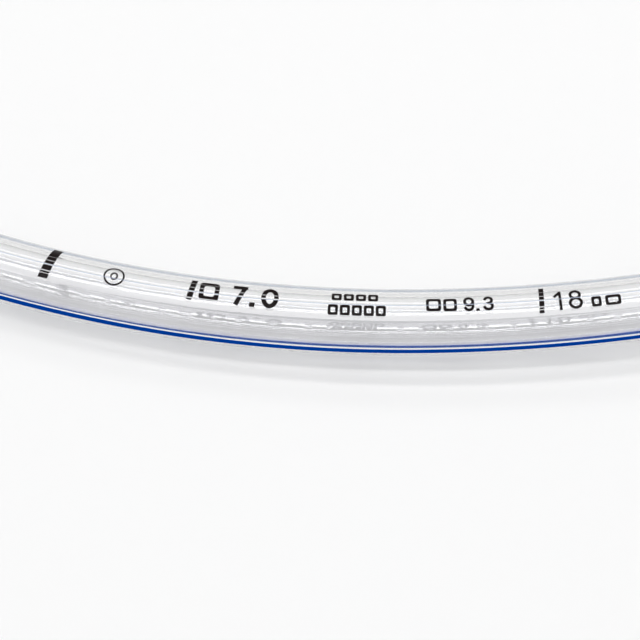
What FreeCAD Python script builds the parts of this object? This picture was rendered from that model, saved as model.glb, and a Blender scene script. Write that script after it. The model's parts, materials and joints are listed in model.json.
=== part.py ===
import FreeCAD, Part
import math
import os

from FreeCAD import Matrix, Placement, Rotation, Vector

# Clear single-use endotracheal tube, plain pattern without a cuff, size 7.0, with its
# 15 mm connector pushed in. It lies on its side as it comes to rest on a bench.
# Lengths are in millimetres and angles in degrees. A station is a distance along the
# shaft's centreline, measured from the patient tip towards the connector.

# Shaft
bore = 7.0
wall = 1.15
shaft_length = 310.0

# Preformed curve, from the tip: a straight tip, then arcs that open out, and what is
# left of the length is straight
tip_run = 31.0
bend_lengths = [36.0, 36.0, 32.0, 32.0, 48.0]
bend_radii = [162.0, 172.0, 182.0, 204.0, 240.0]

# Bevelled tip and the side eye in the wall opposite its opening
bevel_angle = 38.0
tip_edge_chamfer = 0.35
eye_station = 17.0
eye_length = 8.6
eye_width = 6.0

# Radiopaque stripe, let in flush along the outside of the curve, from just behind the
# bevel's smoothed edge
stripe_width = 0.78
stripe_depth = 0.35
stripe_end_gap = 0.3

# Ink marks, printed on the side that faces up, about a line just inside its crown
ink_thickness = 0.04
ink_middle_angle = 85.0
band_station = 110.6
band_width = 1.35
band_height = 5.0
ring_station = 119.8
ring_diameter = 2.9
ring_line = 0.35
bar_station = 154.2
bar_length = 8.2
bar_thickness = 0.6
bar_spacing = 1.75
first_tick_station = 180.0
tick_pitch = 20.0
tick_count = 5
tick_width = 0.95
tick_height = 4.2

# Connector: male cone, flange with two ears, and stem
cone_diameter = 15.47
cone_taper = 1.0 / 40.0
cone_length = 15.5
cone_edge_chamfer = 0.45
mouth_diameter = 12.2
mouth_depth = 11.5
funnel_length = 3.0
stem_bore = 6.2
flange_thickness = 2.0
flange_span = 22.0
flange_width = 16.8
flange_corner_radius = 4.5
flange_edge_chamfer = 0.5
stem_length = 13.0
stem_diameter = 8.0
stem_lead = 0.8
stem_lead_angle = 20.0

# Shaft end stretched over the stem
stretched_wall = 1.05
flare_length = 3.0
flare_edge_chamfer = 0.3

# Rest: the flange's lower edge and one place on the shaft touch the bench
rest_station = 84.0

# How far cutters run past what they cut, and how near a point is that lies on a face
overrun = 1.0
touching = 1e-4

# Derived sizes
bore_radius = bore / 2
shaft_radius = bore_radius + wall
flare_reach = stem_length + flare_length
grip_reach = stem_length - stem_lead
stripe_spread = math.degrees(stripe_width / shaft_radius)
stripe_floor = shaft_radius - stripe_depth
stem_radius = stem_diameter / 2
stretched_radius = stem_radius + stretched_wall
bevel_slope = 1 / math.tan(math.radians(bevel_angle))
up = Vector(0, 0, 1)


class Run:
    """A stretch of the centreline with one radius, or a straight one where it is 0."""

    def __init__(self, start, length, radius, point, heading):
        self.start = start
        self.end = start + length
        self.radius = radius
        self.point = point
        self.heading = heading

    def at(self, station):
        """Return the point and the heading, in radians from +X, at a station."""
        along = station - self.start
        if not self.radius:
            return self.point + tangent(self.heading) * along, self.heading
        heading = self.heading + along / self.radius
        step = (inward(self.heading) - inward(heading)) * self.radius
        return self.point + step, heading


def tangent(heading):
    """Unit vector along the centreline, towards the connector."""
    return Vector(math.cos(heading), math.sin(heading), 0)


def inward(heading):
    """Unit vector towards the inside of the curve."""
    return Vector(-math.sin(heading), math.cos(heading), 0)


def make_runs():
    """Lay out the centreline, so that it ends at the origin and heads along +X there."""
    straight_end = shaft_length - tip_run - sum(bend_lengths)
    lengths = [tip_run] + bend_lengths + [straight_end]
    radii = [0.0] + bend_radii + [0.0]
    heading = -sum(length / radius for length, radius in zip(bend_lengths, bend_radii))
    station = 0.0
    point = Vector(0, 0, 0)
    laid = []
    for length, radius in zip(lengths, radii):
        run = Run(station, length, radius, point, heading)
        laid.append(run)
        point, heading = run.at(run.end)
        station = run.end
    for run in laid:
        run.point = run.point - point
    return laid


runs = make_runs()


def run_at(station):
    """Return the run that holds a station."""
    for run in runs:
        if station <= run.end:
            return run
    return runs[-1]


def section_frame(point, heading):
    """Frame of a cross-section: x to the inside of the curve, y up, z along the shaft."""
    x, y, z = inward(heading), up, tangent(heading)
    return Placement(
        Matrix(x.x, y.x, z.x, point.x, x.y, y.y, z.y, point.y, x.z, y.z, z.z, point.z, 0, 0, 0, 1)
    )


def frame_at(station):
    """Frame of the cross-section at a station."""
    return section_frame(*run_at(station).at(station))


def joined(pieces):
    """Fuse pieces that meet face to face into one solid."""
    if len(pieces) == 1:
        return pieces[0]
    return pieces[0].multiFuse(pieces[1:]).removeSplitter()


def sweep(face, start, end):
    """Carry a section, drawn about the centreline, from one station to another."""
    pieces = []
    for run in runs:
        low = start if run is runs[0] else max(start, run.start)
        high = end if run is runs[-1] else min(end, run.end)
        if high <= low:
            continue
        point, heading = run.at(low)
        section = face.copy()
        section.Placement = section_frame(point, heading)
        if run.radius:
            centre = point + inward(heading) * run.radius
            turn = math.degrees((high - low) / run.radius)
            pieces.append(section.revolve(centre, up, turn))
        else:
            pieces.append(section.extrude(tangent(heading) * (high - low)))
    return joined(pieces)


def disc(radius):
    """Round section about the centreline."""
    return Part.Face(Part.Wire(Part.makeCircle(radius)))


def polar(radius, angle):
    """Point of a section, with its angle from the inside of the curve towards the top."""
    turn = math.radians(angle)
    return Vector(radius * math.cos(turn), radius * math.sin(turn), 0)


def ring_sector(inner, outer, middle, spread):
    """Sector of a ring, spread evenly about a middle angle."""
    low = middle - spread / 2
    high = middle + spread / 2
    outside = Part.Arc(polar(outer, low), polar(outer, middle), polar(outer, high))
    inside = Part.Arc(polar(inner, high), polar(inner, middle), polar(inner, low))
    edges = [
        outside.toShape(),
        Part.makeLine(polar(outer, high), polar(inner, high)),
        inside.toShape(),
        Part.makeLine(polar(inner, low), polar(outer, low)),
    ]
    return Part.Face(Part.Wire(edges))


def turned(points, start_angle=0.0, angle=360.0):
    """Turn a closed outline of (x, radius) points about the connector's axis."""
    corners = [Vector(x, radius, 0) for x, radius in points]
    face = Part.Face(Part.makePolygon(corners + corners[:1]))
    axis = Vector(1, 0, 0)
    face.rotate(Vector(0, 0, 0), axis, start_angle)
    return face.revolve(Vector(0, 0, 0), axis, angle)


def edges_where(shape, test):
    """Edges of a shape whose every sampled point passes a test."""
    chosen = []
    for edge in shape.Edges:
        if edge.Length > 0 and all(test(point) for point in edge.discretize(5)):
            chosen.append(edge)
    return chosen


def make_stretched_end():
    """Shaft end that is stretched over the stem, with its rim bevelled."""
    end = turned(
        [
            (-flare_reach, bore_radius),
            (-grip_reach, stem_radius),
            (0, stem_radius),
            (0, stretched_radius),
            (-grip_reach, stretched_radius),
            (-flare_reach, shaft_radius),
        ]
    )
    rim = edges_where(
        end,
        lambda point: abs(point.x) < touching
        and abs(math.hypot(point.y, point.z) - stretched_radius) < touching,
    )
    return end.makeChamfer(flare_edge_chamfer, rim)


def make_bevel_cutter():
    """Wedge that cuts the tip on the slant, so that its opening faces up."""
    reach = shaft_radius + overrun
    low = (shaft_radius - reach) * bevel_slope
    high = (shaft_radius + reach) * bevel_slope
    corners = [
        Vector(-reach, -reach, low),
        Vector(-reach, reach, high),
        Vector(-reach, reach, low - overrun),
        Vector(-reach, -reach, low - overrun),
    ]
    wedge = Part.Face(Part.makePolygon(corners + corners[:1])).extrude(Vector(2 * reach, 0, 0))
    wedge.Placement = frame_at(0)
    return wedge


def bevel_edges(shape, radius):
    """Edges of the slanted cut where it leaves a round wall of one radius."""
    to_tip = frame_at(0).inverse()

    def on_cut(point):
        place = to_tip.multVec(point)
        on_plane = abs(place.z - (place.y + shaft_radius) * bevel_slope) < touching
        return on_plane and abs(math.hypot(place.x, place.y) - radius) < touching

    return edges_where(shape, on_cut)


def make_eye_cutter():
    """Oval plug through the lower wall, under the bevel's opening."""
    oval = Part.Ellipse(Vector(0, 0, 0), eye_length / 2, eye_width / 2)
    face = Part.Face(Part.Wire(oval.toShape()))
    plug = face.extrude(Vector(0, 0, shaft_radius + overrun))
    lie_down = Placement(Matrix(0, -1, 0, 0, 0, 0, -1, 0, 1, 0, 0, 0, 0, 0, 0, 1))
    plug.Placement = frame_at(eye_station).multiply(lie_down)
    return plug


def make_whole_shaft():
    """Clear shaft before its stripe is let in: curve, bevel, side eye, stretched end."""
    plain_end = shaft_length - flare_reach
    rod = sweep(disc(shaft_radius), 0, plain_end)
    lumen = sweep(disc(bore_radius), -overrun, plain_end)
    shaft = rod.cut(lumen).cut(make_bevel_cutter())
    shaft = shaft.makeChamfer(tip_edge_chamfer, bevel_edges(shaft, shaft_radius))
    shaft = shaft.cut(make_eye_cutter())
    return joined([shaft, make_stretched_end()])


def make_stripe_channel():
    """Cutter for the stripe: open outwards, its floor a stripe's depth below the skin."""
    skin = stretched_radius + overrun
    start = (shaft_radius + stripe_width / 2) * bevel_slope + tip_edge_chamfer + stripe_end_gap
    section = ring_sector(stripe_floor, skin, 180, stripe_spread)
    along = sweep(section, start, shaft_length - flare_reach)
    outline = [
        (-flare_reach, stripe_floor),
        (-grip_reach, stretched_radius - stripe_depth),
        (overrun, stretched_radius - stripe_depth),
        (overrun, skin),
        (-flare_reach, skin),
    ]
    end = turned(outline, 180 - stripe_spread / 2, stripe_spread)
    return joined([along, end])


def ink_patch(station, length, height, offset=0.0):
    """Patch of ink on the skin, centred on a station and set off round the shaft."""
    spread = math.degrees(height / shaft_radius)
    middle = ink_middle_angle + math.degrees(offset / shaft_radius)
    face = ring_sector(shaft_radius, shaft_radius + ink_thickness, middle, spread)
    return sweep(face, station - length / 2, station + length / 2)


def make_ink_ring():
    """Plain ring, printed round a point on the skin."""
    radius = ring_diameter / 2
    reach = shaft_radius + overrun
    punch = Part.makeCylinder(radius, reach).cut(Part.makeCylinder(radius - ring_line, reach))
    outward = Rotation(Vector(0, 0, 1), polar(1, ink_middle_angle))
    punch.Placement = frame_at(ring_station).multiply(Placement(Vector(0, 0, 0), outward))
    margin = 2 * overrun
    return ink_patch(ring_station, ring_diameter + margin, ring_diameter + margin).common(punch)


def make_ink():
    """All the printed marks: a cord band, a ring, two bars and the depth ticks."""
    marks = [ink_patch(band_station, band_width, band_height), make_ink_ring()]
    for side in (-1, 1):
        marks.append(ink_patch(bar_station, bar_length, bar_thickness, side * bar_spacing / 2))
    for index in range(tick_count):
        place = first_tick_station + index * tick_pitch
        marks.append(ink_patch(place, tick_width, tick_height))
    return Part.makeCompound([solid for mark in marks for solid in mark.Solids])


def make_flange():
    """Flange plate with an ear at each end, its corners round and its rims bevelled."""
    half_span = flange_span / 2
    half_width = flange_width / 2
    plate = Part.makeBox(
        flange_thickness, flange_span, flange_width, Vector(0, -half_span, -half_width)
    )
    corners = edges_where(
        plate,
        lambda point: abs(abs(point.y) - half_span) < touching
        and abs(abs(point.z) - half_width) < touching,
    )
    plate = plate.makeFillet(flange_corner_radius, corners)
    rims = edges_where(
        plate,
        lambda point: abs(point.x) < touching or abs(point.x - flange_thickness) < touching,
    )
    return plate.makeChamfer(flange_edge_chamfer, rims)


def make_connector():
    """Connector in one moulding: stem, flange with two ears and the 15 mm male cone."""
    mouth = flange_thickness + cone_length
    root = cone_diameter / 2
    rim = root - cone_length * cone_taper / 2
    stem_nose = stem_radius - stem_lead * math.tan(math.radians(stem_lead_angle))
    body = turned(
        [
            (-stem_length, 0),
            (-stem_length, stem_nose),
            (-grip_reach, stem_radius),
            (flange_thickness / 2, stem_radius),
            (flange_thickness / 2, root),
            (flange_thickness, root),
            (mouth, rim),
            (mouth, 0),
        ]
    )
    mouth_radius = mouth_diameter / 2
    throat = mouth - mouth_depth
    passage = turned(
        [
            (-stem_length - overrun, 0),
            (-stem_length - overrun, stem_bore / 2),
            (throat - funnel_length, stem_bore / 2),
            (throat, mouth_radius),
            (mouth + overrun, mouth_radius),
            (mouth + overrun, 0),
        ]
    )
    connector = body.fuse(make_flange()).removeSplitter().cut(passage)
    rim_edges = edges_where(
        connector,
        lambda point: abs(point.x - mouth) < touching
        and abs(math.hypot(point.y, point.z) - rim) < touching,
    )
    return connector.makeChamfer(cone_edge_chamfer, rim_edges)


def rest_placement():
    """Tip the flat part about the shaft's touching place, until the flange touches too."""
    point, heading = run_at(rest_station).at(rest_station)
    corner = Vector(flange_edge_chamfer, flange_corner_radius - flange_span / 2, 0)
    lever = (corner - point).dot(inward(heading))
    reach = math.hypot(lever, flange_width / 2)
    tilt = math.atan2(flange_width / 2, lever) - math.asin(shaft_radius / reach)
    tip = Placement(Vector(0, 0, 0), Rotation(tangent(heading), math.degrees(tilt)), point)
    lift = Placement(Vector(0, 0, shaft_radius), Rotation())
    return lift.multiply(tip)


def final_placement(shapes):
    """Rest placement, with the origin on the bench under the middle of the part's box."""
    placement = rest_placement()
    laid = Part.makeCompound(shapes)
    laid.Placement = placement
    centre = laid.optimalBoundingBox(False).Center
    return Placement(Vector(-centre.x, -centre.y, 0), Rotation()).multiply(placement)


def make_pieces():
    """Build every piece about the connector's axis, with the curve lying flat."""
    whole_shaft = make_whole_shaft()
    channel = make_stripe_channel()
    return {
        "tube_shaft": whole_shaft.cut(channel),
        "radiopaque_stripe": whole_shaft.common(channel),
        "connector": make_connector(),
        "printed_marks": make_ink(),
    }


def main():
    """Build the pieces, lay the part down and write one file for each piece."""
    pieces = make_pieces()
    placement = final_placement(list(pieces.values()))
    os.makedirs("parts", exist_ok=True)
    for name, shape in pieces.items():
        shape.Placement = placement.multiply(shape.Placement)
        shape.exportStep(f"parts/{name}.step")


main()
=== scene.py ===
import json
import logging
import random
from dataclasses import dataclass, replace
from enum import Enum
from functools import cached_property
from math import asin, atan2, ceil, copysign, cos, pi, radians, sin, tan
from typing import ClassVar

import bmesh
import bpy
from bmesh.types import BMEdge, BMesh, BMFace, BMLayerItem, BMVert
from bpy.types import ID, Material, Node, NodeSocket, Object
from mathutils import Matrix, Vector


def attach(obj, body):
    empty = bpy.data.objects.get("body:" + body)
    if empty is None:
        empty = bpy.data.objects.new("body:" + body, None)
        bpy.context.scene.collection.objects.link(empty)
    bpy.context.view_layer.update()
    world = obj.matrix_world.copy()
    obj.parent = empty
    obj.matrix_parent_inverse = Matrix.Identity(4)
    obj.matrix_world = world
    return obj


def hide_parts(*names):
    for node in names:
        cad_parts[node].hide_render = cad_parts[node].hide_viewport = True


# Looks of a clear breathing tube that lies on its side on a bench, with a blue stripe in
# its wall, black print on the side that faces up and a 15 mm connector at one end.
# Lengths are in metres and angles in radians, unless a name says degrees. A station is a
# distance along the shaft's centreline, measured from the patient tip. A turn goes round
# the shaft: 0 is the inside of the curve, and a quarter turn is the side that faces up.

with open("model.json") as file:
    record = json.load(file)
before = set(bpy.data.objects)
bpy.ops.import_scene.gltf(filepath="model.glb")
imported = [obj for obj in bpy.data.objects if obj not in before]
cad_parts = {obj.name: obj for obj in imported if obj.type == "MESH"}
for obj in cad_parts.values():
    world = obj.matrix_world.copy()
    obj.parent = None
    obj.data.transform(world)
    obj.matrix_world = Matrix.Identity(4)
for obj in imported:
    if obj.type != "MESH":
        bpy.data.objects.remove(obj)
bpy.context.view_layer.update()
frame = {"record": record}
log = logging.getLogger("breathing_tube")

MM = 0.001
CM = 0.01
UP = Vector((0.0, 0.0, 1.0))
BODY = "root"
SHARP_TURN = radians(40.0)
SHARP_TURN_AFTER_CUT = radians(35.0)
FLANGE_THICKNESS = 2.0 * MM
CONE_LENGTH = 15.5 * MM
CONE_CHAMFER = 0.45 * MM

# Names of the values that a mesh's corners carry: the turn, the depth under the skin, and
# the place on the straightened wall, which the clear plastic's pattern follows.
TURN_LAYER = "turn"
INSET_LAYER = "inset"
PLACE_LAYER = "wall_place"

# Sockets of a Mix node that blends colours, where names alone would be ambiguous.
BLEND_SHARE, BLEND_FIRST, BLEND_SECOND, BLEND_RESULT = 0, 6, 7, 2

Colour = tuple[float, float, float]
Value = float | tuple[float, ...] | NodeSocket
Span = tuple[float, float]

WHITE = (1.0, 1.0, 1.0, 1.0)


def tangent(heading: float) -> Vector:
    """Unit vector along the centreline, towards the connector."""
    return Vector((cos(heading), sin(heading), 0.0))


def inward(heading: float) -> Vector:
    """Unit vector towards the inside of the curve."""
    return Vector((-sin(heading), cos(heading), 0.0))


def on_circle(radius: float, turn: float) -> Vector:
    """Point of a cross-section, in the section's own frame."""
    return Vector((radius * cos(turn), radius * sin(turn), 0.0))


def axes_at(point: Vector, x: Vector, y: Vector, z: Vector) -> Matrix:
    """Frame at a point, with the given axes."""
    return Matrix.Translation(point) @ Matrix((x, y, z)).transposed().to_4x4()


def ease(value: float) -> float:
    """Smooth step from 0 to 1 for a value that runs from 0 to 1."""
    held = min(max(value, 0.0), 1.0)
    return held * held * (3.0 - 2.0 * held)


def within(values: list[float], zone: Span) -> bool:
    """Whether all values lie inside a zone."""
    return zone[0] < min(values) and max(values) < zone[1]


def spaced(low: float, high: float, pitch: float) -> list[float]:
    """Evenly spaced values from one to another, at most a pitch apart."""
    count = max(1, ceil(abs(high - low) / pitch))
    return [low + (high - low) * index / count for index in range(count + 1)]


def put(name: str, data: ID) -> Object:
    """Add an object to the scene.

    Args:
        name: Name of the object.
        data: Mesh, camera or light that it shows.

    Returns:
        The new object, at the origin.
    """
    added = bpy.data.objects.new(name, data)
    bpy.context.scene.collection.objects.link(added)
    return added


def new_piece(name: str, bm: BMesh) -> Object:
    """Turn a bmesh into a smooth-shaded object of the scene.

    Args:
        name: Name of the object.
        bm: Finished mesh, which is freed.

    Returns:
        The new object, at the origin.
    """
    mesh = bpy.data.meshes.new(name)
    bm.to_mesh(mesh)
    bm.free()
    mesh.shade_smooth()
    mesh.set_sharp_from_angle(angle=SHARP_TURN)
    return put(name, mesh)


def cut_or_join(piece: Object, tool: Object, operation: str) -> None:
    """Apply a boolean to a piece, set its sharp edges again and delete the tool.

    Args:
        piece: Object that is changed.
        tool: Object that it is combined with.
        operation: UNION or DIFFERENCE.
    """
    modifier = piece.modifiers.new("combine", "BOOLEAN")
    modifier.operation = operation
    modifier.solver = "EXACT"
    modifier.object = tool
    depsgraph = bpy.context.evaluated_depsgraph_get()
    mesh = bpy.data.meshes.new_from_object(piece.evaluated_get(depsgraph))
    piece.modifiers.clear()
    piece.data = mesh
    mesh.set_sharp_from_angle(angle=SHARP_TURN_AFTER_CUT)
    bpy.data.objects.remove(tool)


def rounded(bm: BMesh, edges: list[BMEdge], radius: float, steps: int) -> None:
    """Round some edges of a mesh.

    Args:
        bm: Mesh that holds them.
        edges: The edges.
        radius: How far the rounding reaches from each edge.
        steps: Number of faces across it.
    """
    bmesh.ops.bevel(
        bm, geom=edges, offset=radius, segments=steps, profile=0.5, affect="EDGES", material=-1
    )


def next_ring(bm: BMesh, edges: list[BMEdge]) -> tuple[list[BMEdge], list[BMVert], list[BMFace]]:
    """Extrude a loop of edges by one more ring.

    Args:
        bm: Mesh that holds the loop.
        edges: The loop.

    Returns:
        The new ring's edges and corners, and the faces that lead to it.
    """
    grown = bmesh.ops.extrude_edge_only(bm, edges=edges)["geom"]
    loop = [g for g in grown if isinstance(g, BMEdge) and g.is_boundary]
    verts = [g for g in grown if isinstance(g, BMVert)]
    return loop, verts, [g for g in grown if isinstance(g, BMFace)]


def face_out(bm: BMesh) -> None:
    """Turn the faces of a mesh outwards."""
    bmesh.ops.recalc_face_normals(bm, faces=bm.faces)


def extruded(bm: BMesh) -> list[BMVert]:
    """Extrude all faces of a flat mesh, and give the new corners, which are still in place."""
    copies = bmesh.ops.extrude_face_region(bm, geom=list(bm.faces))["geom"]
    return [g for g in copies if isinstance(g, BMVert)]


def outline(bm: BMesh, verts: list[BMVert]) -> list[BMEdge]:
    """Join corners into a closed outline."""
    return [bm.edges.new(ends) for ends in zip(verts, [*verts[1:], verts[0]])]


def solid(colour: Colour) -> tuple[float, ...]:
    """Colour with full cover."""
    return (*colour, 1.0)


class Nodes:
    """A new node material, with short ways to add nodes to it.

    A value that it asks for may be a plain one or the socket that feeds it.
    """

    def __init__(self, name: str) -> None:
        """Start a material with the standard shader.

        Args:
            name: Name of the material.
        """
        self.material = bpy.data.materials.new(name)
        self.material.use_nodes = True
        self.tree = self.material.node_tree
        self.shader = self.tree.nodes["Principled BSDF"]

    def fill(self, node: Node, inputs: dict[str | int, Value]) -> None:
        """Fill inputs of a node.

        Args:
            node: The node.
            inputs: Value of each input.
        """
        for key, value in inputs.items():
            if isinstance(value, NodeSocket):
                self.tree.links.new(value, node.inputs[key])
            else:
                node.inputs[key].default_value = value

    def add(self, kind: str, inputs: dict[str | int, Value]) -> Node:
        """Add a node.

        Args:
            kind: Blender's type of the node.
            inputs: Value of each input.

        Returns:
            The new node.
        """
        node = self.tree.nodes.new(kind)
        self.fill(node, inputs)
        return node

    def calculated(self, operation: str, *values: Value) -> NodeSocket:
        """Add a Math node.

        Args:
            operation: What it works out.
            values: Value of each input, in order.

        Returns:
            The socket with the result.
        """
        node = self.add("ShaderNodeMath", dict(enumerate(values)))
        node.operation = operation
        return node.outputs[0]

    def blended(self, share: Value, first: Value, second: Value) -> NodeSocket:
        """Blend two colours.

        Args:
            share: 0 for the first colour, up to 1 for the second.
            first: First colour.
            second: Second colour.

        Returns:
            The socket with the colour.
        """
        node = self.tree.nodes.new("ShaderNodeMix")
        node.data_type = "RGBA"
        self.fill(node, {BLEND_SHARE: share, BLEND_FIRST: first, BLEND_SECOND: second})
        return node.outputs[BLEND_RESULT]

    def raised(self, pattern: NodeSocket, height: float) -> NodeSocket:
        """Let a pattern stand out by a height: the socket with the surface's direction."""
        inputs = {"Height": pattern, "Distance": height, "Strength": 1.0}
        return self.add("ShaderNodeBump", inputs).outputs["Normal"]

    def let_lamps_pass(self, colour: Value, share: float = 1.0) -> None:
        """Let lamp light and bounced light through the finish, as a thin film does.

        Args:
            colour: Colour that the film gives the light.
            share: Share of that light which passes.
        """
        path = self.tree.nodes.new("ShaderNodeLightPath").outputs
        passing = self.calculated("MAXIMUM", path["Is Shadow Ray"], path["Is Diffuse Ray"])
        if share < 1.0:
            passing = self.calculated("MULTIPLY", passing, share)
        film = self.add("ShaderNodeBsdfTransparent", {"Color": colour}).outputs["BSDF"]
        mixed = {0: passing, 1: self.shader.outputs["BSDF"], 2: film}
        surface = self.add("ShaderNodeMixShader", mixed).outputs["Shader"]
        self.fill(self.tree.nodes["Material Output"], {"Surface": surface})


@dataclass(frozen=True)
class ClearPlastic:
    """Soft clear plastic: refracts, shines, and lets lamp light through with some loss.

    The film is what lamp light meets. It darkens from film_clear, face on, to film_dark.
    """

    name: str
    ior: float = 1.53
    roughness: float = 0.02
    tint: Colour = (0.988, 0.988, 0.992)
    wave_height: float = 0.0
    wave_scale: Colour = (130.0, 420.0, 420.0)
    film_clear: float = 0.99
    film_dark: float = 0.985
    film_reach: float = 0.5
    film_cast: Colour = (0.0, 0.003, 0.014)

    def material(self) -> Material:
        """Mix the plastic.

        Returns:
            Its node material.
        """
        nodes = Nodes(self.name)
        attribute = nodes.tree.nodes.new("ShaderNodeAttribute")
        attribute.attribute_name = PLACE_LAYER
        place = attribute.outputs["Vector"]
        facing = nodes.add("ShaderNodeLayerWeight", {"Blend": 0.5}).outputs["Facing"]
        finish: dict[str | int, Value] = {
            "Transmission Weight": 1.0,
            "IOR": self.ior,
            "Roughness": self.roughness,
            "Base Color": self.colour(nodes, place, facing),
        }
        if self.wave_height:
            stretch = {"Vector": place, "Scale": self.wave_scale}
            stretched = nodes.add("ShaderNodeMapping", stretch).outputs["Vector"]
            waves = {"Vector": stretched, "Scale": 1.0, "Detail": 1.0}
            noise = nodes.add("ShaderNodeTexNoise", waves).outputs["Fac"]
            finish["Normal"] = nodes.raised(noise, self.wave_height)
        nodes.fill(nodes.shader, finish)
        depth = {"Value": facing, "From Max": self.film_reach}
        loss = nodes.add("ShaderNodeMapRange", depth).outputs["Result"]
        clear = (self.film_clear,) * 3
        dark = tuple(self.film_dark + cast for cast in self.film_cast)
        nodes.let_lamps_pass(nodes.blended(loss, solid(clear), solid(dark)))
        return nodes.material

    def colour(self, nodes: Nodes, place: NodeSocket, facing: NodeSocket) -> Value:
        """Colour of the plastic, here the same all over."""
        return solid(self.tint)


@dataclass(frozen=True)
class ClearSkin(ClearPlastic):
    """The shaft's outside, with painted shade along its outline on the inside of the curve and a
    fine bluish line along it.
    """

    name: str = "clear_skin"
    wave_height: float = 0.0015 * MM
    film_clear: float = 0.975
    film_dark: float = 0.72
    film_reach: float = 0.28
    # Painted shade: ramp stops that darken the skin's colour from face on towards its outline.
    edge_shades: tuple[tuple[float, Colour], ...] = (
        (0.26, (0.988, 0.988, 0.99)),
        (0.36, (0.8, 0.8, 0.8)),
        (0.53, (0.76, 0.765, 0.77)),
        (0.605, (0.25, 0.3, 0.38)),
        (0.685, (0.25, 0.3, 0.38)),
        (0.83, (0.9, 0.92, 0.95)),
    )
    line_turn: float = radians(85.8)
    line_tint: Colour = (0.35, 0.45, 0.68)
    line_half_turn: float = 0.016
    line_core: float = 0.4

    def colour(self, nodes: Nodes, place: NodeSocket, facing: NodeSocket) -> Value:
        """Colour, with painted shade at the outline on the inside of the curve, and a fine bluish
        line.

        Args:
            nodes: The material.
            place: Socket with each point's place on the straightened wall.
            facing: Socket that runs from 0 face on to 1 at the outline.

        Returns:
            The socket with the colour.
        """
        parts = nodes.add("ShaderNodeSeparateXYZ", {"Vector": place}).outputs
        # Painted shade: the mask keeps the dark outline to the inside of the curve.
        inner_side = nodes.calculated("GREATER_THAN", parts["Y"], 0.0)
        outline = nodes.calculated("MULTIPLY", inner_side, facing)
        painted_outline_ramp = nodes.add("ShaderNodeValToRGB", {"Fac": outline})
        shades = painted_outline_ramp.color_ramp.elements
        for end in shades:
            end.color = solid(self.tint)
        for position, shade in self.edge_shades:
            shades.new(position).color = solid(shade)
        # A fine bluish line is blended into the skin's colour along one turn.
        turn = nodes.calculated("ARCTAN2", parts["Z"], parts["Y"])
        away = nodes.calculated("SUBTRACT", turn, self.line_turn)
        edges = {
            "Value": nodes.calculated("ABSOLUTE", away),
            "From Min": self.line_half_turn,
            "From Max": self.line_core * self.line_half_turn,
        }
        line = nodes.add("ShaderNodeMapRange", edges)
        line.interpolation_type = "SMOOTHSTEP"
        drawn = line.outputs["Result"]
        return nodes.blended(drawn, painted_outline_ramp.outputs["Color"], solid(self.line_tint))


@dataclass(frozen=True)
class Opaque:
    """An opaque finish whose colour drifts a little and whose surface has a fine grain."""

    name: str
    dark: Colour
    light: Colour
    roughness: float
    grain_scale: float
    grain_height: float
    grain_detail: float = 4.0
    specular: float = 0.5
    subsurface: float = 0.0
    glow_depth: Colour = (0.004, 0.004, 0.0045)
    lamp_pass: float = 0.0

    def material(self) -> Material:
        """Mix the finish.

        Returns:
            Its node material.
        """
        nodes = Nodes(self.name)
        place = nodes.tree.nodes.new("ShaderNodeTexCoord").outputs["Object"]
        grains = {"Vector": place, "Scale": self.grain_scale, "Detail": self.grain_detail}
        grain = nodes.add("ShaderNodeTexNoise", grains).outputs["Fac"]
        finish: dict[str | int, Value] = {
            "Base Color": nodes.blended(grain, solid(self.dark), solid(self.light)),
            "Normal": nodes.raised(grain, self.grain_height),
            "Roughness": self.roughness,
            "Specular IOR Level": self.specular,
        }
        if self.subsurface:
            finish["Subsurface Weight"] = self.subsurface
            finish["Subsurface Radius"] = self.glow_depth
            finish["Subsurface Scale"] = 1.0
        nodes.fill(nodes.shader, finish)
        if self.lamp_pass:
            nodes.let_lamps_pass(WHITE, self.lamp_pass)
        return nodes.material


class Dressed:
    """A sub-assembly that stands for a node of the CAD part.

    Its finishes are in the order of its faces' material indices.
    """

    node: ClassVar[str]
    slot: ClassVar[str]
    finishes: ClassVar[tuple[ClearPlastic | Opaque, ...]]

    def dress(self, piece: Object) -> None:
        """Give a piece its finishes, and let it stand for the node and ride on the body.

        Args:
            piece: The finished piece.
        """
        slots = piece.data.materials
        while len(slots) < len(self.finishes):
            slots.append(None)
        for index, finish in enumerate(self.finishes):
            slots[index] = finish.material()
        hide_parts(self.node)
        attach(piece, BODY)


class Wall(Enum):
    """Faces of the shaft's wall.

    They are the outside, the bore, the bore's strip beside the stripe, its bottom, and the
    bright and dull spots in a row along that bottom.
    """

    SKIN = 0
    LUMEN = 1
    BESIDE_STRIPE = 2
    BOTTOM = 3
    BRIGHT_SPOT = 4
    DULL_SPOT = 5


class StripeFace(Enum):
    """Faces of the stripe: the one at the skin with its sides, and the one to the bore."""

    SKIN_SIDE = 0
    BORE_SIDE = 1


# Painted shade: a darker tint for the bore's bottom and its spots, which darkens the lower half of
# the tube.
PAINTED_BOTTOM_SHADE = (0.79, 0.79, 0.8)
CLEAR = {
    Wall.SKIN: ClearSkin(),
    Wall.LUMEN: ClearPlastic("clear_lumen", wave_height=0.001 * MM),
    Wall.BESIDE_STRIPE: ClearPlastic("clear_beside_stripe", ior=1.62),
    Wall.BOTTOM: ClearPlastic("clear_bottom", tint=PAINTED_BOTTOM_SHADE),
    Wall.BRIGHT_SPOT: ClearPlastic("clear_bright_spot", ior=2.0, tint=PAINTED_BOTTOM_SHADE),
    Wall.DULL_SPOT: ClearPlastic("clear_dull_spot", ior=1.25, tint=PAINTED_BOTTOM_SHADE),
}
STRIPE_BLUE = Opaque(
    name="stripe_blue",
    dark=(0.0, 0.055, 0.42),
    light=(0.0, 0.07, 0.48),
    roughness=0.5,
    grain_scale=900.0,
    grain_height=0.002 * MM,
    specular=0.0,
    lamp_pass=0.85,
)
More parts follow.
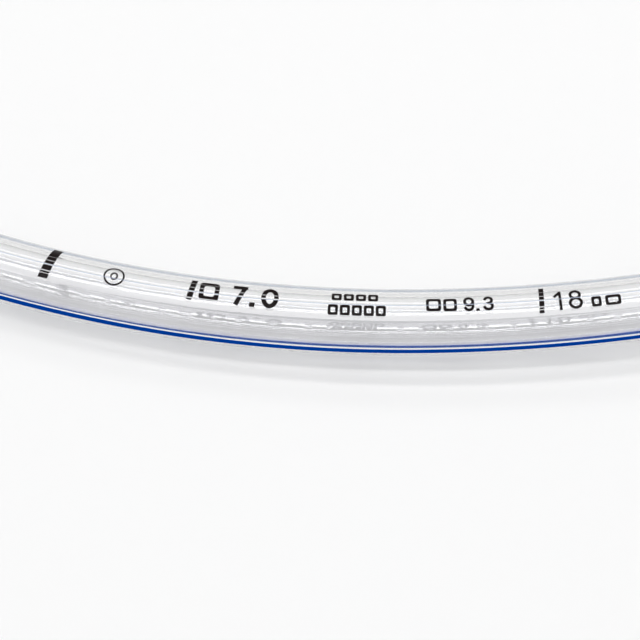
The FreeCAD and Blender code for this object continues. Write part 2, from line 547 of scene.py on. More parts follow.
BLUES = {
    StripeFace.SKIN_SIDE: STRIPE_BLUE,
    # Painted light: the face towards the bore gets a lighter copy of the stripe's blue.
    StripeFace.BORE_SIDE: replace(
        STRIPE_BLUE, name="stripe_inside_painted_lighter", dark=(0.0, 0.1, 0.52), light=(0.0, 0.12, 0.58)
    ),
}
INK = Opaque(
    name="ink",
    dark=(0.006, 0.004, 0.004),
    light=(0.02, 0.014, 0.014),
    roughness=0.3,
    grain_scale=9000.0,
    grain_height=0.003 * MM,
    specular=0.08,
    lamp_pass=0.6,
)
NATURAL_MOULDING = Opaque(
    name="natural_moulding",
    dark=(0.78, 0.80, 0.81),
    light=(0.84, 0.86, 0.87),
    roughness=0.35,
    grain_scale=700.0,
    grain_height=0.01 * MM,
    subsurface=0.6,
)


@dataclass(frozen=True)
class Stretch:
    """A stretch of the centreline with one radius, or a straight one where it is 0."""

    start: float
    length: float
    radius: float
    point: Vector
    heading: float

    @property
    def end(self) -> float:
        """Station where the stretch ends."""
        return self.start + self.length

    def at(self, station: float) -> tuple[Vector, float]:
        """Point and heading at a station.

        Args:
            station: Place along the shaft.

        Returns:
            The point, and the heading from +X.
        """
        along = station - self.start
        if not self.radius:
            return self.point + tangent(self.heading) * along, self.heading
        heading = self.heading + along / self.radius
        step = (inward(self.heading) - inward(heading)) * self.radius
        return self.point + step, heading


@dataclass
class Centreline:
    """The shaft's preformed curve, laid flat and then tipped to its place of rest."""

    shaft_length: float = 310.0 * MM
    tip_run: float = 31.0 * MM
    bend_lengths: tuple[float, ...] = (36.0 * MM, 36.0 * MM, 32.0 * MM, 32.0 * MM, 48.0 * MM)
    bend_radii: tuple[float, ...] = (162.0 * MM, 172.0 * MM, 182.0 * MM, 204.0 * MM, 240.0 * MM)
    rest_station: float = 84.0 * MM
    cone_middle: float = FLANGE_THICKNESS + (CONE_LENGTH - CONE_CHAMFER) / 2

    def chain(self, point: Vector, heading: float) -> list[Stretch]:
        """Stretches one after another.

        Args:
            point: Where the tip is.
            heading: Heading of the shaft there.

        Returns:
            The straight tip, the bends and the straight end.
        """
        straight_end = self.shaft_length - self.tip_run - sum(self.bend_lengths)
        lengths = (self.tip_run, *self.bend_lengths, straight_end)
        laid: list[Stretch] = []
        station = 0.0
        for length, radius in zip(lengths, (0.0, *self.bend_radii, 0.0)):
            laid.append(Stretch(station, length, radius, point, heading))
            station += length
            point, heading = laid[-1].at(station)
        return laid

    @cached_property
    def stretches(self) -> list[Stretch]:
        """Lay the centreline out flat.

        Returns:
            Stretches that end at the origin and head along +X there.
        """
        bends = zip(self.bend_lengths, self.bend_radii)
        heading = -sum(length / radius for length, radius in bends)
        last = self.chain(Vector(), heading)[-1]
        return self.chain(-last.at(last.end)[0], heading)

    def at(self, station: float) -> tuple[Vector, float]:
        """Point and heading of the flat centreline.

        Args:
            station: Place along the shaft.

        Returns:
            The point, and the heading from +X.
        """
        for stretch in self.stretches:
            if station <= stretch.end:
                return stretch.at(station)
        return self.stretches[-1].at(station)

    @cached_property
    def placement(self) -> Matrix:
        """Placement of the flat part on the bench, read from the cone's mount.

        Returns:
            The matrix from the flat frame to the frame of the model.
        """
        mounts = {mount["name"]: mount for mount in frame["record"]["mounts"]}
        cone = mounts["circuit_cone"]
        heading = self.at(self.rest_station)[1]
        axis = Vector(cone["axis"]).normalized()
        tilt = asin(-axis.z / sin(heading))
        tip = Matrix.Rotation(tilt, 4, tangent(heading))
        shift = Vector(cone["pos_m"]) - tip @ Vector((self.cone_middle, 0.0, 0.0))
        return Matrix.Translation(shift) @ tip

    def section(self, station: float) -> Matrix:
        """Frame of a cross-section: x to the inside of the curve, y up, z along the shaft."""
        point, heading = self.at(station)
        return self.placement @ axes_at(point, inward(heading), UP, tangent(heading))


@dataclass(frozen=True)
class Ring:
    """One ring of the wall's mesh.

    In the tip's zone share runs from 0 at the slanted cut to 1 where the rings stand
    square, and elsewhere it is 1.
    """

    station: float
    radius: float
    share: float
    face: Wall


@dataclass
class Shaft(Dressed):
    """The clear shaft: its wall, its slanted tip, the side eye and the stretched end."""

    node = "tube_shaft"
    slot = "clear_plastic"
    finishes = tuple(CLEAR[face] for face in Wall)
    line: Centreline
    bore_radius: float = 3.5 * MM
    wall: float = 1.15 * MM
    bevel_angle: float = radians(38.0)
    tip_relief: float = 0.12 * MM
    rim_rounding: float = 0.36 * MM
    rim_steps: int = 3
    eye_station: float = 17.0 * MM
    eye_length: float = 8.6 * MM
    eye_width: float = 6.0 * MM
    stem_radius: float = 4.0 * MM
    stretched_wall: float = 1.05 * MM
    grip_reach: float = 12.2 * MM
    flare_reach: float = 16.0 * MM
    end_rounding: float = 0.3 * MM
    end_gap: float = 0.03 * MM
    around: int = 96
    ring_pitch: float = 1.0 * MM
    tip_pitch: float = 0.7 * MM
    beside_stripe: Span = (radians(160.0), radians(179.9))
    bottom: Span = (radians(-128.0), radians(-67.0))
    spot_row: Span = (radians(-83.0), radians(-74.5))
    spot_pitch: float = 1.0 * MM
    spot_seed: int = 11
    bright_runs: tuple[int, ...] = (2, 3, 3, 4)
    dull_runs: tuple[int, ...] = (1, 1, 2)

    @property
    def radius(self) -> float:
        """Radius of the shaft's outside, away from its ends."""
        return self.bore_radius + self.wall

    @property
    def end(self) -> float:
        """Station where the wall ends, just short of the connector's flange."""
        return self.line.shaft_length - self.end_gap

    def stretch_share(self, station: float) -> float:
        """How far the wall is stretched at a station, from 0 to 1."""
        start = self.line.shaft_length - self.flare_reach
        return ease((station - start) / (self.flare_reach - self.grip_reach))

    def skin(self, station: float) -> float:
        """Radius of the outside at a station."""
        widening = self.stem_radius + self.stretched_wall - self.radius
        return self.radius + widening * self.stretch_share(station)

    def lumen(self, station: float) -> float:
        """Radius of the bore at a station."""
        widening = self.stem_radius - self.bore_radius
        return self.bore_radius + widening * self.stretch_share(station)

    def square_stations(self) -> list[float]:
        """Stations of the rings that stand square to the shaft."""
        return spaced(self.line.tip_run, self.end - self.end_rounding, self.ring_pitch)

    def rings(self) -> list[Ring]:
        """Lay out the wall's rings.

        Returns:
            Rings up the outside, round the machine end and back down the bore.
        """
        zone, end = self.line.tip_run, self.end
        shares = spaced(0.0, 1.0, self.tip_pitch / zone)
        stations = self.square_stations()[1:]
        up = [Ring(zone, self.radius, share, Wall.SKIN) for share in shares]
        up += [Ring(place, self.skin(place), 1.0, Wall.SKIN) for place in stations]
        rim = []
        for step in range(1, self.rim_steps + 1):
            turn = pi / 2 * step / self.rim_steps
            place = end - self.end_rounding * (1 - sin(turn))
            radius = self.skin(place) - self.end_rounding * (1 - cos(turn))
            rim.append(Ring(place, radius, 1.0, Wall.SKIN))
        down = [Ring(place, self.lumen(place), 1.0, Wall.LUMEN) for place in [*stations[:-1], end]]
        tip = [Ring(zone, self.bore_radius, share, Wall.LUMEN) for share in shares]
        return up + rim + down[::-1] + tip[::-1]

    def layers(self, bm: BMesh) -> tuple[BMLayerItem, BMLayerItem]:
        """Where the corners carry their turn and their place on the straightened wall."""
        return bm.verts.layers.float[TURN_LAYER], bm.verts.layers.float_vector[PLACE_LAYER]

    def set_ring(self, bm: BMesh, verts: list[BMVert], ring: Ring) -> None:
        """Place the corners of one ring.

        Args:
            bm: Mesh that holds the ring.
            verts: The ring's corners, each of which carries its turn.
            ring: Where the ring goes.
        """
        turn_layer, place_layer = self.layers(bm)
        section = self.line.section(ring.station)
        slope = 1.0 / tan(self.bevel_angle)
        for vert in verts:
            turn = vert[turn_layer]
            x = ring.radius * cos(turn)
            y = ring.radius * sin(turn)
            cut = (y + self.radius) * slope + self.tip_relief
            back = (1.0 - ring.share) * (cut - ring.station)
            vert.co = section @ Vector((x, y, back))
            vert[place_layer] = (ring.station + back, x, y)

    def wall_mesh(self) -> BMesh:
        """Sweep the wall ring by ring.

        Returns:
            The closed wall.
        """
        bm = bmesh.new()
        bm.verts.layers.float.new(TURN_LAYER)
        bm.verts.layers.float_vector.new(PLACE_LAYER)
        turn_layer, _ = self.layers(bm)
        verts = bmesh.ops.create_circle(bm, segments=self.around, radius=1.0)["verts"]
        for vert in verts:
            vert[turn_layer] = atan2(vert.co.y, vert.co.x)
        rings = self.rings()
        self.set_ring(bm, verts, rings[0])
        first = edges = list(bm.edges)
        for ring in rings[1:]:
            edges, verts, faces = next_ring(bm, edges)
            for face in faces:
                face.material_index = ring.face.value
            self.set_ring(bm, verts, ring)
        bmesh.ops.bridge_loops(bm, edges=[*first, *edges])
        self.mark_bore(bm)
        rounded(bm, [*first, *edges], self.rim_rounding, self.rim_steps)
        face_out(bm)
        return bm

    def spots(self) -> list[bool]:
        """Draw where the bore's bottom is bright, in short runs with gaps.

        Returns:
            For each step along the shaft, whether the spot there is bright.
        """
        dice = random.Random(self.spot_seed)
        bright: list[bool] = []
        while len(bright) * self.spot_pitch < self.line.shaft_length:
            bright += [True] * dice.choice(self.bright_runs)
            bright += [False] * dice.choice(self.dull_runs)
        return bright

    def mark_bore(self, bm: BMesh) -> None:
        """Give the bore's faces beside the stripe and along the bottom their own finish.

        Args:
            bm: Mesh of the wall.
        """
        turn_layer, place_layer = self.layers(bm)
        bright = self.spots()
        for face in bm.faces:
            if face.material_index != Wall.LUMEN.value:
                continue
            turns = [vert[turn_layer] for vert in face.verts]
            station = max(vert[place_layer].x for vert in face.verts)
            if within(turns, self.beside_stripe):
                face.material_index = Wall.BESIDE_STRIPE.value
            elif within(turns, self.spot_row):
                lit = bright[int(station / self.spot_pitch)]
                spot = Wall.BRIGHT_SPOT if lit else Wall.DULL_SPOT
                face.material_index = spot.value
            elif within(turns, self.bottom):
                face.material_index = Wall.BOTTOM.value

    def eye_plug(self) -> Object:
        """Make the oval plug that cuts the side eye through the lower wall.

        Returns:
            The plug, in place.
        """
        bm = bmesh.new()
        bmesh.ops.create_circle(bm, cap_ends=True, segments=self.around, radius=0.5)
        bmesh.ops.scale(bm, vec=(self.eye_width, self.eye_length, 1.0), verts=bm.verts)
        bmesh.ops.translate(bm, vec=(0.0, 0.0, -2.0 * self.radius), verts=extruded(bm))
        upright = Matrix(((1, 0, 0, 0), (0, 0, 1, 0), (0, 1, 0, 0), (0, 0, 0, 1)))
        place = self.line.section(self.eye_station) @ upright
        bmesh.ops.transform(bm, matrix=place, verts=bm.verts)
        face_out(bm)
        return new_piece("eye_plug", bm)

    def build(self) -> Object:
        """Make the wall, with a place for each of its finishes.

        Returns:
            The finished wall.
        """
        piece = new_piece("shaft_wall", self.wall_mesh())
        for _ in Wall:
            piece.data.materials.append(None)
        cut_or_join(piece, self.eye_plug(), "DIFFERENCE")
        return piece


@dataclass
class Stripe(Dressed):
    """Blue stripe in the wall, along the outside of the curve.

    It is a wedge: its inner face is narrower than the one at the skin. A negative cover
    lets it stand proud of the skin. In the drift zone it moves up the wall.
    """

    node = "radiopaque_stripe"
    slot = "blue_stripe"
    finishes = tuple(BLUES[face] for face in StripeFace)
    shaft: Shaft
    width: float = 1.045 * MM
    middle: float = radians(177.25)
    depth: float = 0.65 * MM
    inner_width: float = 0.45 * MM
    inner_middle: float = radians(181.6)
    cover: float = -0.003 * MM
    start: float = 6.95 * MM
    across: int = 5
    drift_turn: float = radians(4.5)
    drift_zone: Span = (110.0 * MM, 150.0 * MM)

    def turns(self, middle: float, width: float) -> list[float]:
        """Turns of the stripe's corners along one of its faces."""
        half = width / self.shaft.radius / 2
        return spaced(middle - half, middle + half, 2 * half / self.across)

    def drift(self, station: float) -> float:
        """Turn by which the stripe drifts up the wall towards the patient end."""
        low, high = self.drift_zone
        return -self.drift_turn * ease((high - station) / (high - low))

    def build(self) -> Object:
        """Sweep the stripe along the skin as a closed bar.

        Returns:
            The stripe.
        """
        bm = bmesh.new()
        turn_layer = bm.verts.layers.float.new(TURN_LAYER)
        inset_layer = bm.verts.layers.float.new(INSET_LAYER)
        corners = [(turn, self.cover) for turn in self.turns(self.middle, self.width)]
        inner = reversed(self.turns(self.inner_middle, self.inner_width))
        corners += [(turn, self.cover + self.depth) for turn in inner]
        verts = []
        for turn, inset in corners:
            vert = bm.verts.new()
            vert[turn_layer] = turn
            vert[inset_layer] = inset
            verts.append(vert)
        edges = outline(bm, verts)
        bmesh.ops.contextual_create(bm, geom=edges)
        stations = [self.start, *self.shaft.square_stations()]
        for station in stations:
            if station != stations[0]:
                edges, verts, _ = next_ring(bm, edges)
            section = self.shaft.line.section(station)
            skin = self.shaft.skin(station)
            for vert in verts:
                turn = vert[turn_layer] + self.drift(station)
                vert.co = section @ on_circle(skin - vert[inset_layer], turn)
        bmesh.ops.contextual_create(bm, geom=edges)
        for face in bm.faces:
            inside = all(vert[inset_layer] > self.cover for vert in face.verts)
            side = StripeFace.BORE_SIDE if inside else StripeFace.SKIN_SIDE
            face.material_index = side.value
        face_out(bm)
        return new_piece("stripe", bm)


@dataclass(frozen=True)
class Stroke:
    """Path of a pen in a box one unit high, made of straight lines and of arcs.

    Each part is a point (x, y), or an arc (x, y, x radius, y radius, from, to) with its
    angles in degrees. An arc all the way round stands alone and closes the path.
    """

    parts: tuple[tuple[float, ...], ...]
    arc_step: float = 15.0

    @property
    def closed(self) -> bool:
        """Whether the path is a full circle or oval."""
        return self.parts[0][-2:] == (0.0, 360.0)

    def points(self) -> list[tuple[float, float]]:
        """Follow the path.

        Returns:
            Points along it.
        """
        path = []
        for part in self.parts:
            x, y, *arc = part
            if not arc:
                path.append((x, y))
                continue
            wide, high, first, last = arc
            degrees = spaced(first, last, self.arc_step)
            turns = [radians(turn) for turn in (degrees[:-1] if self.closed else degrees)]
            path += [(x + wide * cos(turn), y + high * sin(turn)) for turn in turns]
        return path


STROKES: dict[str, list[Stroke]] = {
    sign: [Stroke(parts) for parts in strokes]
    for sign, strokes in {
        "0": [((0.34, 0.5, 0.34, 0.5, 0.0, 360.0),)],
        "1": [((0.1, 0.76), (0.34, 0.96)), ((0.38, 1.0), (0.38, 0.0))],
        "2": [((0.3, 0.7, 0.29, 0.3, 165.0, -35.0), (0.06, 0.04)), ((0.0, 0.0), (0.6, 0.0))],
        "3": [
            ((0.28, 0.755, 0.26, 0.245, 155.0, -85.0), (0.28, 0.255, 0.29, 0.255, 85.0, -160.0))
        ],
        "4": [
            ((0.46, 0.0), (0.46, 1.0)),
            ((0.44, 0.96), (0.04, 0.3)),
            ((0.0, 0.3), (0.64, 0.3)),
        ],
        "6": [
            ((0.31, 0.68, 0.29, 0.32, 30.0, 170.0), (0.01, 0.34)),
            ((0.31, 0.31, 0.3, 0.31, 0.0, 360.0),),
        ],
        "7": [((0.1, 1.0), (0.62, 1.0)), ((0.58, 0.95), (0.22, 0.02))],
        "8": [
            ((0.31, 0.77, 0.26, 0.23, 0.0, 360.0),),
            ((0.31, 0.27, 0.31, 0.27, 0.0, 360.0),),
        ],
        "9": [
            ((0.29, 0.32, 0.29, 0.32, 210.0, 350.0), (0.59, 0.66)),
            ((0.29, 0.69, 0.3, 0.31, 0.0, 360.0),),
        ],
    }.items()
}

# The point between two figures: its width in lines, and in figure pitches how far back it
# stands and how much room it takes.
DOT_WIDTH, DOT_BACK, DOT_ROOM = 1.2, 0.06, 0.3

# Least cosine that a corner's reach is divided by, so that sharp corners stay short.
MITRE_LIMIT = 0.5

BOLD_LINE, LIGHT_LINE = 0.64 * MM, 0.4 * MM

# Turn and width of each line cut out of the ink as a painted highlight, where the clear skin shows
# through the print.
FINE_HIGHLIGHT_SLITS: tuple[Span, ...] = ((radians(85.8), 0.11 * MM),)
FIGURE_HIGHLIGHT_SLITS: tuple[Span, ...] = (
    (radians(77.0), 0.1 * MM),
    (radians(84.5), 0.22 * MM),
)
BOLD_HIGHLIGHT_SLITS: tuple[Span, ...] = (
    (radians(68.5), 0.07 * MM),
    (radians(77.5), 0.09 * MM),
    (radians(85.8), 0.22 * MM),
    (radians(98.0), 0.17 * MM),
    (radians(103.0), 0.07 * MM),
)


class Ink(Enum):
    """Shapes of the ink marks."""

    BAR = "bar"
    RING = "ring"
    BOX = "box"
    FIGURES = "figures"


# Power that bends a circle: 1 leaves it round, less makes it a box with round corners.
OUTLINE_POWERS = {Ink.RING: 1.0, Ink.BOX: 1.0 / 3.0}
OUTLINE_CORNERS = 48


def rectangle(bm: BMesh, width: float, height: float, x: float = 0.0, y: float = 0.0) -> None:
    """Add a flat rectangle of ink.

    Args:
        bm: Flat mesh of a mark.
        width: Size along the shaft.
        height: Size across it.
        x: Where its middle goes along the shaft.
        y: Where its middle goes across it.
    """
    verts = bmesh.ops.create_grid(bm, x_segments=1, y_segments=1, size=0.5)["verts"]
    bmesh.ops.scale(bm, vec=(width, height, 1.0), verts=verts)
    bmesh.ops.translate(bm, vec=(x, y, 0.0), verts=verts)


@dataclass(frozen=True)
class Mark:
    """One ink mark and its place on the skin.

    Station and offset say where its origin goes, along the shaft and towards the inside of the
    curve. The width runs along the shaft, and for figures it is their pitch. Lean is the slope of
    the upper part to the machine end, and a slit is a line cut out of the ink as a painted
    highlight, where the clear skin shows through.
    """

    ink: Ink
    station: float
    offset: float
    width: float
    height: float
    line: float = LIGHT_LINE
    lean: float = 0.0
    slits: tuple[Span, ...] = FINE_HIGHLIGHT_SLITS
    text: str = ""

    def flat(self) -> BMesh:
        """Draw the mark in its own plane, x along the shaft and y across it.

        Returns:
            The flat mesh, about its own middle, or from the figures' lower left corner.
        """
        bm = bmesh.new()
        if self.ink is Ink.BAR:
            rectangle(bm, self.width, self.height)
        elif self.ink is Ink.FIGURES:
            self.figures(bm)
        else:
            self.ring(bm)
        return bm

    def ring(self, bm: BMesh) -> None:
        """Draw a ring or a box as an inked line.

        Args:
            bm: Flat mesh that the line is added to.
        """
        power = OUTLINE_POWERS[self.ink]
        for shrink in (0.0, self.line):
            circle = bmesh.ops.create_circle(bm, segments=OUTLINE_CORNERS, radius=1.0)
            for vert in circle["verts"]:
                x, y = vert.co.x, vert.co.y
                vert.co.x = copysign(abs(x) ** power, x) * (self.width / 2 - shrink)
                vert.co.y = copysign(abs(y) ** power, y) * (self.height / 2 - shrink)
        bmesh.ops.bridge_loops(bm, edges=list(bm.edges))

    def figures(self, bm: BMesh) -> None:
        """Draw plain numbers.

        Args:
            bm: Flat mesh that they are added to.
        """
        place = 0.0
        for sign in self.text:
            if sign == ".":
                x = place - DOT_BACK * self.width
                rectangle(bm, DOT_WIDTH * self.line, self.line, x, self.line / 2)
                place += DOT_ROOM * self.width
                continue
            for stroke in STROKES[sign]:
                self.pen(bm, stroke, place)
            place += self.width

    def pen(self, bm: BMesh, stroke: Stroke, place: float) -> None:
        """Draw one stroke of a figure with a broad pen.

        Args:
            bm: Flat mesh that the stroke is added to.
            stroke: Path in a box one unit high.
            place: Where the figure's left side goes.
        """
        half, inner = self.line / 2, self.height - self.line
        points = [
            Vector((x * inner + half + place, y * inner + half, 0.0)) for x, y in stroke.points()
        ]
        count = len(points)
        if not stroke.closed:
            points[0] += (points[0] - points[1]).normalized() * half
            points[-1] += (points[-1] - points[-2]).normalized() * half
        left, right = [], []
        for index, point in enumerate(points):
            if stroke.closed:
                before, after = points[index - 1], points[(index + 1) % count]
            else:
                before, after = points[max(index - 1, 0)], points[min(index + 1, count - 1)]
            behind, ahead = point - before, after - point
            into = (behind if point != before else ahead).normalized()
            out = ahead.normalized() if after != point else into
            across = Vector((-(into + out).y, (into + out).x, 0.0)).normalized()
            reach = half / max(across.dot(Vector((-into.y, into.x, 0.0))), MITRE_LIMIT)
            left.append(point + across * reach)
            right.append(point - across * reach)
        rows = [[bm.verts.new(point) for point in side] for side in (left, right)]
        steps = range(count if stroke.closed else count - 1)
        rails = [bm.edges.new((row[k], row[(k + 1) % count])) for row in rows for k in steps]
        if stroke.closed:
            bmesh.ops.bridge_loops(bm, edges=rails)
            return
        ends = [bm.edges.new((rows[0][k], rows[1][k])) for k in (0, -1)]
        bmesh.ops.contextual_create(bm, geom=[*rails, *ends])


# Band, ring in a ring, bold bar and box, bore, two boxes and outside diameter.
MARKS: tuple[Mark, ...] = (
    Mark(Ink.BAR, 110.6 * MM, 0.5 * MM, 1.35 * MM, 5.6 * MM, lean=0.15, slits=BOLD_HIGHLIGHT_SLITS),
    Mark(Ink.RING, 119.9 * MM, 0.2 * MM, 3.0 * MM, 3.0 * MM, line=0.26 * MM),
    Mark(Ink.RING, 119.9 * MM, 0.2 * MM, 1.1 * MM, 1.3 * MM, line=0.24 * MM),
    Mark(Ink.BAR, 131.0 * MM, 0.2 * MM, 0.82 * MM, 3.35 * MM, lean=0.12, slits=BOLD_HIGHLIGHT_SLITS),
    Mark(Ink.BOX, 133.45 * MM, 0.2 * MM, 2.8 * MM, 3.0 * MM, BOLD_LINE, slits=BOLD_HIGHLIGHT_SLITS),
    Mark(
        Ink.FIGURES, 136.5 * MM, -1.5 * MM, 3.27 * MM, 3.3 * MM, BOLD_LINE, 0.0, FIGURE_HIGHLIGHT_SLITS, "7.0"
    ),
    Mark(Ink.BOX, 164.75 * MM, -0.1 * MM, 2.1 * MM, 2.0 * MM),
    Mark(Ink.BOX, 167.05 * MM, -0.15 * MM, 1.9 * MM, 2.0 * MM),
    Mark(Ink.FIGURES, 168.9 * MM, -1.25 * MM, 2.1 * MM, 2.3 * MM, text="9.3"),
)

# Rows of boxes: how many, how far apart, and the first one.
ROWS: tuple[tuple[int, float, Mark], ...] = (
    (4, 1.7 * MM, Mark(Ink.BOX, 151.25 * MM, 1.1 * MM, 1.42 * MM, 1.3 * MM)),
    (5, 1.66 * MM, Mark(Ink.BOX, 150.8 * MM, -1.05 * MM, 1.42 * MM, 1.55 * MM)),
)

# Marks at each depth, with their stations counted from it: tick, number and two boxes.
DEPTH_MARKS: tuple[Mark, ...] = (
    Mark(Ink.BAR, -0.2 * MM, 0.0, 0.7 * MM, 4.15 * MM, lean=0.06, slits=BOLD_HIGHLIGHT_SLITS),
    Mark(Ink.FIGURES, 1.2 * MM, -1.85 * MM, 2.3 * MM, 2.95 * MM),
    Mark(Ink.BOX, 7.35 * MM, -1.05 * MM, 1.4 * MM, 1.5 * MM),
    Mark(Ink.BOX, 9.7 * MM, -1.05 * MM, 2.2 * MM, 1.5 * MM),
)


@dataclass
class Print(Dressed):
    """Black print on the skin: band, ring, bar, boxes, depth ticks and plain numbers."""

    node = "printed_marks"
    slot = "black_ink"
    finishes = (INK,)
    shaft: Shaft
    middle: float = radians(83.5)
    lift: float = 0.012 * MM
    sunk: float = 0.03 * MM
    cut_around: float = 0.35 * MM
    cut_along: float = 1.0 * MM
    first_depth: float = 180.0 * MM
    depth_pitch: float = 20.0 * MM
    depth_count: int = 5

    def marks(self) -> list[Mark]:
        """List the marks in the order in which they are inked.

        Returns:
            Every mark, with its own station.
        """
        marks = list(MARKS)
        for count, pitch, first in ROWS:
            marks += [replace(first, station=first.station + k * pitch) for k in range(count)]
        for index in range(self.depth_count):
            depth = self.first_depth + index * self.depth_pitch
            text = str(round(depth / CM))
            marks += [replace(m, station=depth + m.station, text=text) for m in DEPTH_MARKS]
        return marks

    def cut_up(self, flat: BMesh, mark: Mark) -> None:
        """Cut a flat mark so that it can bend, and take out the lines of painted highlight, where
        the clear skin shows through the ink.

        Args:
            flat: Flat mesh of the mark.
            mark: The mark.
        """
        radius = self.shaft.radius
        highlight_skips = [
            ((self.middle - turn) * radius - mark.offset, width / 2) for turn, width in mark.slits
        ]
        for axis, pitch in ((0, self.cut_along), (1, self.cut_around)):
            places = [vert.co[axis] for vert in flat.verts]
            normal = Vector((float(axis == 0), float(axis == 1), 0.0))
            cuts = spaced(min(places), max(places), pitch)[1:-1]
            if axis == 1:
                cuts += [skip + side for skip, half in highlight_skips for side in (-half, half)]
            for place in cuts:
                parts = [*flat.verts, *flat.edges, *flat.faces]
                bmesh.ops.bisect_plane(flat, geom=parts, plane_co=normal * place, plane_no=normal)
        # Painted highlights: the faces in each slit are deleted so the clear skin shows through the
        # ink.
        bare = [
            face
            for face in flat.faces
            if any(abs(face.calc_center_median().y - skip) < half for skip, half in highlight_skips)
        ]
        bmesh.ops.delete(flat, geom=bare, context="FACES")

    def wrapped(self, mark: Mark) -> BMesh:
        """Wrap a mark round the skin and give it its thickness.

        Args:
            mark: The mark.

        Returns:
            The mark as a closed mesh, in place.
        """
        bm = mark.flat()
        self.cut_up(bm, mark)
        face_out(bm)
        sunk = set(extruded(bm))
        for vert in bm.verts:
            place = mark.station + vert.co.x + mark.lean * vert.co.y
            depth = -self.sunk if vert in sunk else self.lift
            turn = self.middle - (mark.offset + vert.co.y) / self.shaft.radius
            point = on_circle(self.shaft.skin(place) + depth, turn)
            vert.co = self.shaft.line.section(place) @ point
        face_out(bm)
        return bm

    def build(self) -> Object:
        """Ink every mark.

        Returns:
            All the print as one piece.
        """
        whole = bmesh.new()
        for mark in self.marks():
            inked = self.wrapped(mark)
            mesh = bpy.data.meshes.new("mark")
            inked.to_mesh(mesh)
            inked.free()
            whole.from_mesh(mesh)
            bpy.data.meshes.remove(mesh)
        return new_piece("print", whole)


@dataclass
class Connector(Dressed):
    """15 mm connector in one moulding: cone, flange with two ears and stem."""

    node = "connector"
    slot = "connector_plastic"
    finishes = (NATURAL_MOULDING,)
    line: Centreline
    cone_radius: float = 7.735 * MM
    cone_taper: float = 1.0 / 40.0
    mouth_radius: float = 6.1 * MM
    mouth_depth: float = 11.5 * MM
    funnel_length: float = 3.0 * MM
    stem_bore_radius: float = 3.1 * MM
    stem_radius: float = 4.01 * MM
    stem_length: float = 13.0 * MM
    stem_lead: float = 0.8 * MM
    stem_nose_radius: float = 3.71 * MM
    steps_round: int = 128
    sharp_turn: float = radians(25.0)
    edge_rounding: float = 0.22 * MM
    edge_steps: int = 3
    flange_span: float = 22.0 * MM
    flange_width: float = 16.8 * MM
    flange_corner_radius: float = 4.5 * MM
    flange_corner_steps: int = 12
    flange_rim: float = 0.45 * MM
    flange_rim_steps: int = 4

    def turned(self) -> Object:
        """Turn cone, stem and passage about the connector's axis.

        Returns:
            The turned part of the moulding.
        """
        flange_middle = FLANGE_THICKNESS / 2
        mouth = FLANGE_THICKNESS + CONE_LENGTH
        throat = mouth - self.mouth_depth
        profile = [
            (-self.stem_length, self.stem_bore_radius),
            (-self.stem_length, self.stem_nose_radius),
            (-self.stem_length + self.stem_lead, self.stem_radius),
            (flange_middle, self.stem_radius),
            (flange_middle, self.cone_radius),
            (FLANGE_THICKNESS, self.cone_radius),
            (mouth, self.cone_radius - CONE_LENGTH * self.cone_taper / 2),
            (mouth, self.mouth_radius),
            (throat, self.mouth_radius),
            (throat - self.funnel_length, self.stem_bore_radius),
        ]
        bm = bmesh.new()
        outline(bm, [bm.verts.new((x, radius, 0.0)) for x, radius in profile])
        bmesh.ops.spin(
            bm,
            geom=[*bm.verts, *bm.edges],
            cent=(0.0, 0.0, 0.0),
            axis=(1.0, 0.0, 0.0),
            angle=2 * pi,
            steps=self.steps_round,
            use_merge=True,
        )
        face_out(bm)
        corners = [edge for edge in bm.edges if edge.calc_face_angle(0.0) > self.sharp_turn]
        rounded(bm, corners, self.edge_rounding, self.edge_steps)
        bmesh.ops.transform(bm, matrix=self.line.placement, verts=bm.verts)
        return new_piece("connector_moulding", bm)

    def plate(self) -> Object:
        """Make the flange with its two ears, round corners and rounded rims.

        Returns:
            The flange, in place.
        """

        def reach(edge: BMEdge) -> float:
            """Length of an edge along the connector's axis."""
            return abs(edge.verts[0].co.x - edge.verts[1].co.x)

        bm = bmesh.new()
        half = FLANGE_THICKNESS / 2
        bmesh.ops.create_cube(bm, size=1.0)
        size = (FLANGE_THICKNESS, self.flange_span, self.flange_width)
        bmesh.ops.scale(bm, vec=size, verts=bm.verts)
        corners = [edge for edge in bm.edges if reach(edge) > half]
        rounded(bm, corners, self.flange_corner_radius, self.flange_corner_steps)
        rims = [edge for edge in bm.edges if reach(edge) < half]
        rounded(bm, rims, self.flange_rim, self.flange_rim_steps)
        bmesh.ops.translate(bm, vec=(half, 0.0, 0.0), verts=bm.verts)
        bmesh.ops.transform(bm, matrix=self.line.placement, verts=bm.verts)
        return new_piece("plate", bm)

    def build(self) -> Object:
        """Join the turned part and the flange.

        Returns:
            The finished connector.
        """
        piece = self.turned()
        cut_or_join(piece, self.plate(), "UNION")
        return piece


class SeenBy(Enum):
    """Surfaces that a studio light reaches."""

    ALL = "all"
    MATTE = "matte"
    SHINY = "shiny"


@dataclass(frozen=True)
class SoftBox:
    """Soft rectangular light over the tube.

    The angle goes up from the near side, in the plane across the tube, and the distance
    is measured from the aim point. The length runs along the tube.
    """

    name: str
    angle_degrees: float
    distance: float
    width: float
    length: float
    radiance: float
    seen_by: SeenBy = SeenBy.ALL


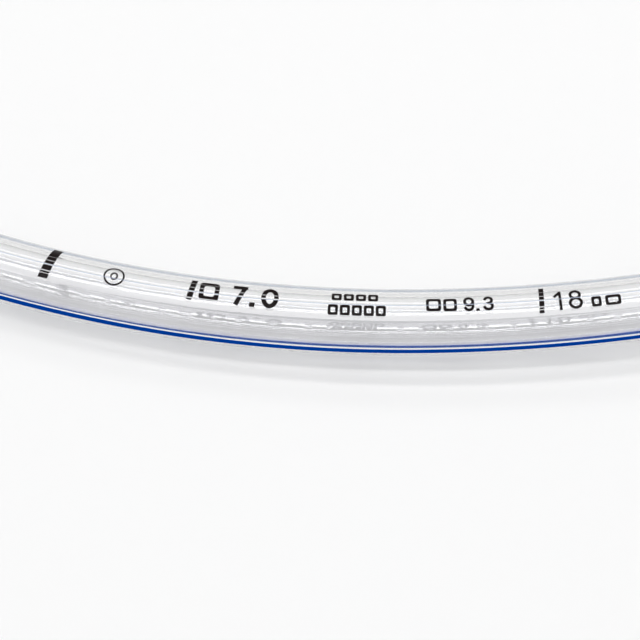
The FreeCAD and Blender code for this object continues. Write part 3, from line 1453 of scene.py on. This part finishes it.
# Name, angle, distance, width, length and radiance of each light, from front to back.
SOFT_BOXES: tuple[SoftBox, ...] = (
    SoftBox("front_glow", 57.0, 1.0, 0.33, 2.2, 0.16),
    SoftBox("front_panel", 78.0, 1.0, 0.39, 2.2, 1.66),
    SoftBox("front_sheen", 78.0, 0.99, 0.39, 2.2, 1.1, SeenBy.SHINY),
    SoftBox("top_strip", 92.5, 1.2, 0.094, 1.4, 12.2),
    SoftBox("back_strip", 112.5, 1.2, 0.084, 1.4, 12.2, SeenBy.MATTE),
    SoftBox("back_sheen", 114.0, 1.19, 0.084, 1.4, 1.3, SeenBy.SHINY),
    SoftBox("low_strip", 132.0, 1.2, 0.12, 0.9, 4.2),
)


@dataclass
class Studio:
    """Pale floor, soft lights and the camera, set out from the part of the tube in view."""

    line: Centreline
    aim_station: float = 149.0 * MM
    level_turn: float = radians(3.41)
    elevation: float = radians(64.0)
    distance: float = 450.0 * MM
    half_view: float = radians(5.68)
    sensor: float = 36.0
    clip_start: float = 0.01
    clip_end: float = 200.0
    floor_size: float = 60.0
    floor_colour: float = 0.93
    floor_drift: float = 0.004
    room_light: float = 0.165

    def flat_view(self) -> tuple[Vector, Vector, Vector]:
        """Find what the camera looks at.

        Returns:
            Aim point, level direction and far direction, in the flat frame.
        """
        point, heading = self.line.at(self.aim_station)
        level = heading + self.level_turn
        return point, tangent(level), inward(level)

    def camera(self) -> None:
        """Set up the camera, which looks down on the printed stretch."""
        aim, level, far = self.flat_view()
        back = UP * sin(self.elevation) - far * cos(self.elevation)
        data = bpy.data.cameras.new("camera")
        data.sensor_width = self.sensor
        data.lens = self.sensor / 2 / tan(self.half_view)
        data.clip_start = self.clip_start
        data.clip_end = self.clip_end
        camera = put("camera", data)
        placed = axes_at(aim + back * self.distance, level, back.cross(level), back)
        camera.matrix_world = self.line.placement @ placed
        bpy.context.scene.camera = camera

    def floor(self) -> None:
        """Lay the plain pale floor."""
        bm = bmesh.new()
        bmesh.ops.create_grid(bm, x_segments=1, y_segments=1, size=self.floor_size / 2)
        floor = new_piece("floor", bm)
        paint = Opaque(
            name="floor_paint",
            dark=(self.floor_colour - self.floor_drift,) * 3,
            light=(self.floor_colour + self.floor_drift,) * 3,
            roughness=0.9,
            grain_scale=300.0,
            grain_height=0.0,
        )
        floor.data.materials.append(paint.material())

    def hang(self, box: SoftBox) -> None:
        """Hang a soft box over the tube.

        Args:
            box: The light.
        """
        aim, level, far = self.flat_view()
        aim = self.line.placement @ aim
        angle = radians(box.angle_degrees)
        out = UP * sin(angle) - far * cos(angle)
        data = bpy.data.lights.new(box.name, "AREA")
        data.shape = "RECTANGLE"
        data.size = box.length
        data.size_y = box.width
        data.energy = box.radiance * pi * box.length * box.width
        light = put(box.name, data)
        light.visible_glossy = box.seen_by is not SeenBy.MATTE
        light.visible_diffuse = box.seen_by is not SeenBy.SHINY
        light.matrix_world = axes_at(aim + out * box.distance, level, -level.cross(out), out)

    def room(self) -> None:
        """Add the even light of the room."""
        world = bpy.data.worlds.new("room")
        world.use_nodes = True
        back = world.node_tree.nodes["Background"]
        back.inputs["Color"].default_value = WHITE
        back.inputs["Strength"].default_value = self.room_light
        bpy.context.scene.world = world

    def build(self) -> None:
        """Set up floor, room, lights and camera."""
        bpy.context.scene.view_settings.view_transform = "Standard"
        self.floor()
        self.room()
        for box in SOFT_BOXES:
            self.hang(box)
        self.camera()


def main() -> None:
    """Build and dress every piece, log its face count and set up the studio."""
    logging.basicConfig(level=logging.INFO, format="%(message)s")
    line = Centreline()
    shaft = Shaft(line)
    for part in (shaft, Stripe(shaft), Print(shaft), Connector(line)):
        piece = part.build()
        part.dress(piece)
        log.info("%s: %d faces", piece.name, len(piece.data.polygons))
    Studio(line).build()


if __name__ == "__main__":
    main()
